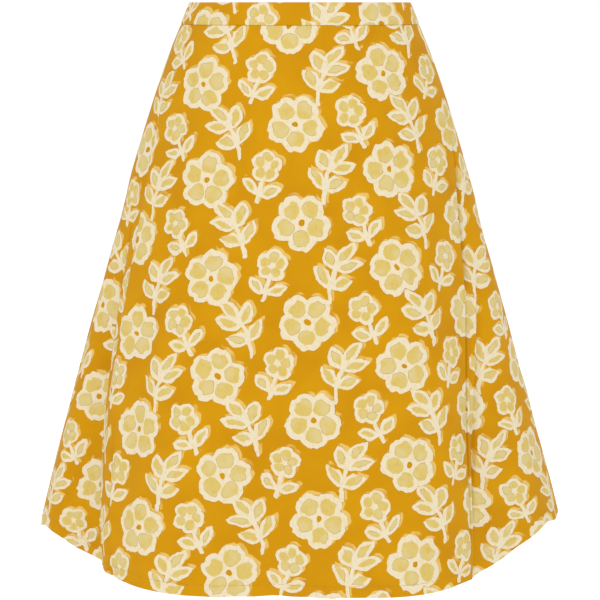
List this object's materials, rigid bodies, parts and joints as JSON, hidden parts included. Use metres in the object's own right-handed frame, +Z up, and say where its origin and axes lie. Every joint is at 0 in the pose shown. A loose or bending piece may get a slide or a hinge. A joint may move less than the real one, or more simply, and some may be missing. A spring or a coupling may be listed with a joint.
{
  "type": "a-line skirt",
  "caption": "Knee-length A-line skirt in printed cotton with a narrow waistband and a concealed zip at the back, hollow as worn.",
  "frame": {"origin": "middle of the waist, level with the waistband's top edge", "axes": "+Z up along the wearer, -Y to the wearer's front, +X to the wearer's left"},
  "size_m": [0.6375, 0.4322, 0.6458],
  "materials": {
    "printed_cotton": "crisp printed cotton, mustard ground with off-white and pale yellow motifs, low sheen",
    "zip_tape": "woven mustard polyester tape",
    "zip_metal": "mustard enamel on metal, half gloss"
  },
  "bodies": {
    "skirt": {"front_panel": "printed_cotton", "back_left_panel": "printed_cotton", "back_right_panel": "printed_cotton", "waistband_front": "printed_cotton", "waistband_back_left": "printed_cotton", "waistband_back_right": "printed_cotton", "zip_tape_left": "zip_tape", "zip_tape_right": "zip_tape", "zip_slider": "zip_metal"},
    "pull": {"zip_pull": "zip_metal"}
  },
  "joints": [
    {"name": "pull_swing", "type": "hinge", "parent": "skirt", "child": "pull", "pos_m": [0, 0.09864, -0.00813], "axis": [1, 0, 0], "range_deg": [0, 165]}
  ]
}
